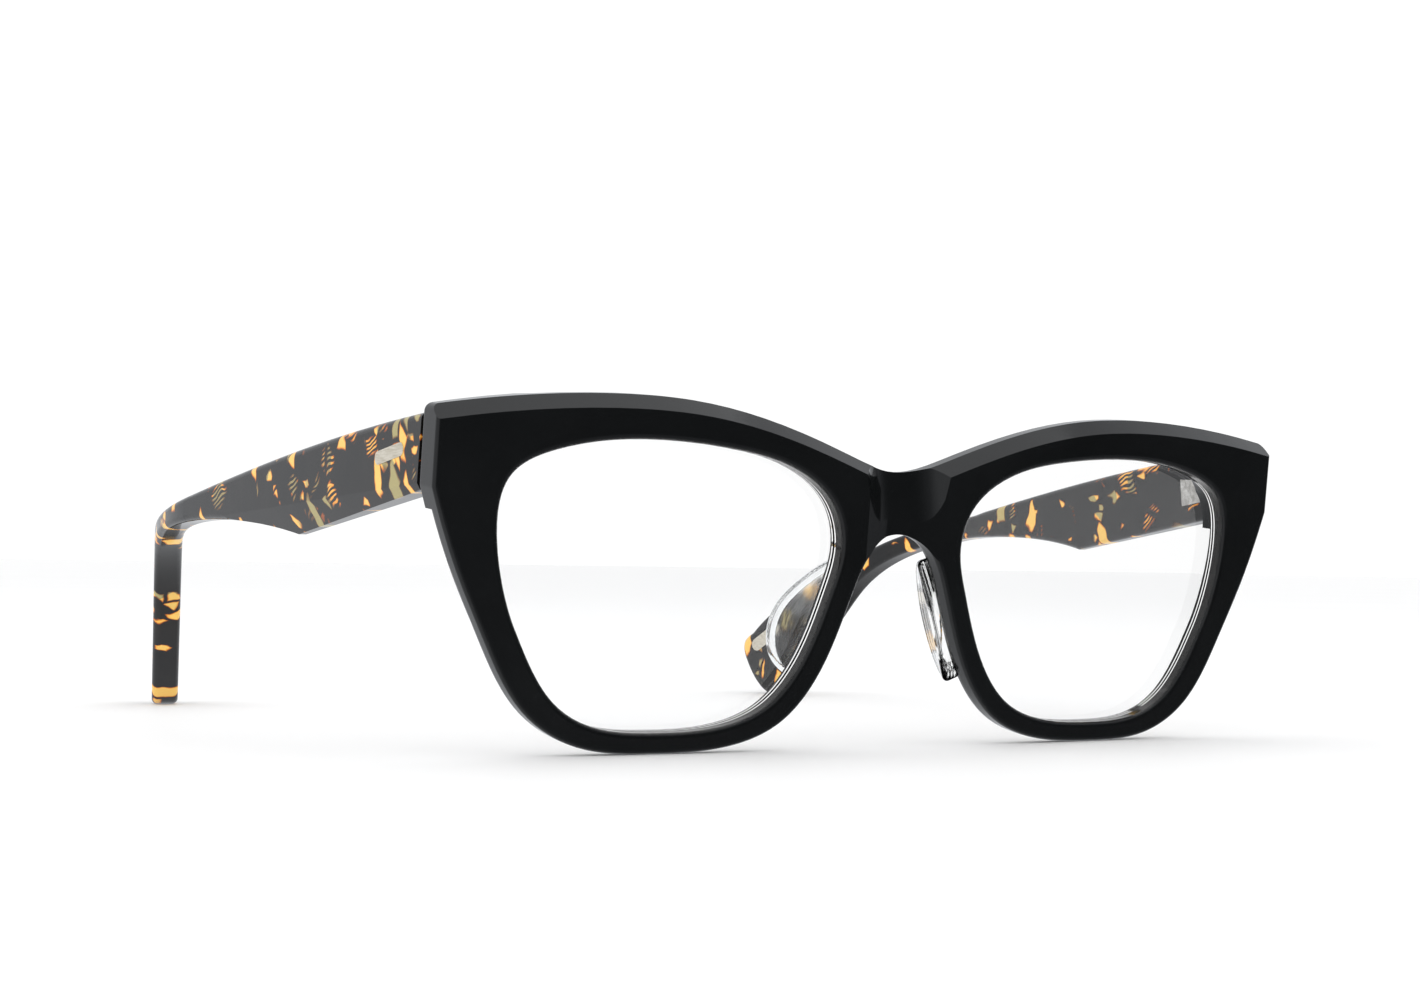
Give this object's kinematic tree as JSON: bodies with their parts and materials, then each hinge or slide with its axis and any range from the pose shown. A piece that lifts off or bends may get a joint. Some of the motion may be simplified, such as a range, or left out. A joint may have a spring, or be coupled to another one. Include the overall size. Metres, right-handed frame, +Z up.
{
  "type": "eyeglasses frame",
  "caption": "Cat-eye acetate eyeglasses with clear demo lenses, clear nose pads and two folding tortoise temples, standing open on rims and tips.",
  "frame": {"origin": "on the table under the pair, midway across the width and midway from the front to the temple tips", "axes": "+X to the wearer's left, -Y the way the wearer looks, +Z up; temples open"},
  "size_m": [0.1518, 0.14, 0.0478],
  "materials": {
    "front_acetate": "polished black cellulose acetate",
    "tortoise_acetate": "polished dark tortoise acetate with amber patches",
    "clear_acetate": "polished clear acetate",
    "demo_lens": "clear polished demo lens",
    "hinge_metal": "satin nickel silver",
    "screw_metal": "polished steel",
    "core_metal": "satin nickel silver",
    "champagne_metal": "brushed champagne plate"
  },
  "bodies": {
    "front": {"front_frame": "front_acetate", "lens_left": "demo_lens", "nose_pad_left": "clear_acetate", "front_hinge_left": "hinge_metal", "hinge_screw_left": "screw_metal", "lens_right": "demo_lens", "nose_pad_right": "clear_acetate", "front_hinge_right": "hinge_metal", "hinge_screw_right": "screw_metal"},
    "temple_arm_left": {"temple_left": "tortoise_acetate", "core_wire_left": "core_metal", "temple_hinge_left": "hinge_metal", "temple_plaque_left": "champagne_metal", "tip_plaque_left": "champagne_metal"},
    "temple_arm_right": {"temple_right": "tortoise_acetate", "core_wire_right": "core_metal", "temple_hinge_right": "hinge_metal", "temple_plaque_right": "champagne_metal", "tip_plaque_right": "champagne_metal"}
  },
  "joints": [
    {"name": "fold_left", "type": "hinge", "parent": "front", "child": "temple_arm_left", "pos_m": [0.06475, -0.05896, 0.03941], "axis": [0, -0.1097, 0.994], "range_deg": [0, 87]},
    {"name": "fold_right", "type": "hinge", "parent": "front", "child": "temple_arm_right", "pos_m": [-0.06475, -0.05896, 0.03941], "axis": [0, 0.1097, -0.994], "range_deg": [0, 80]}
  ]
}
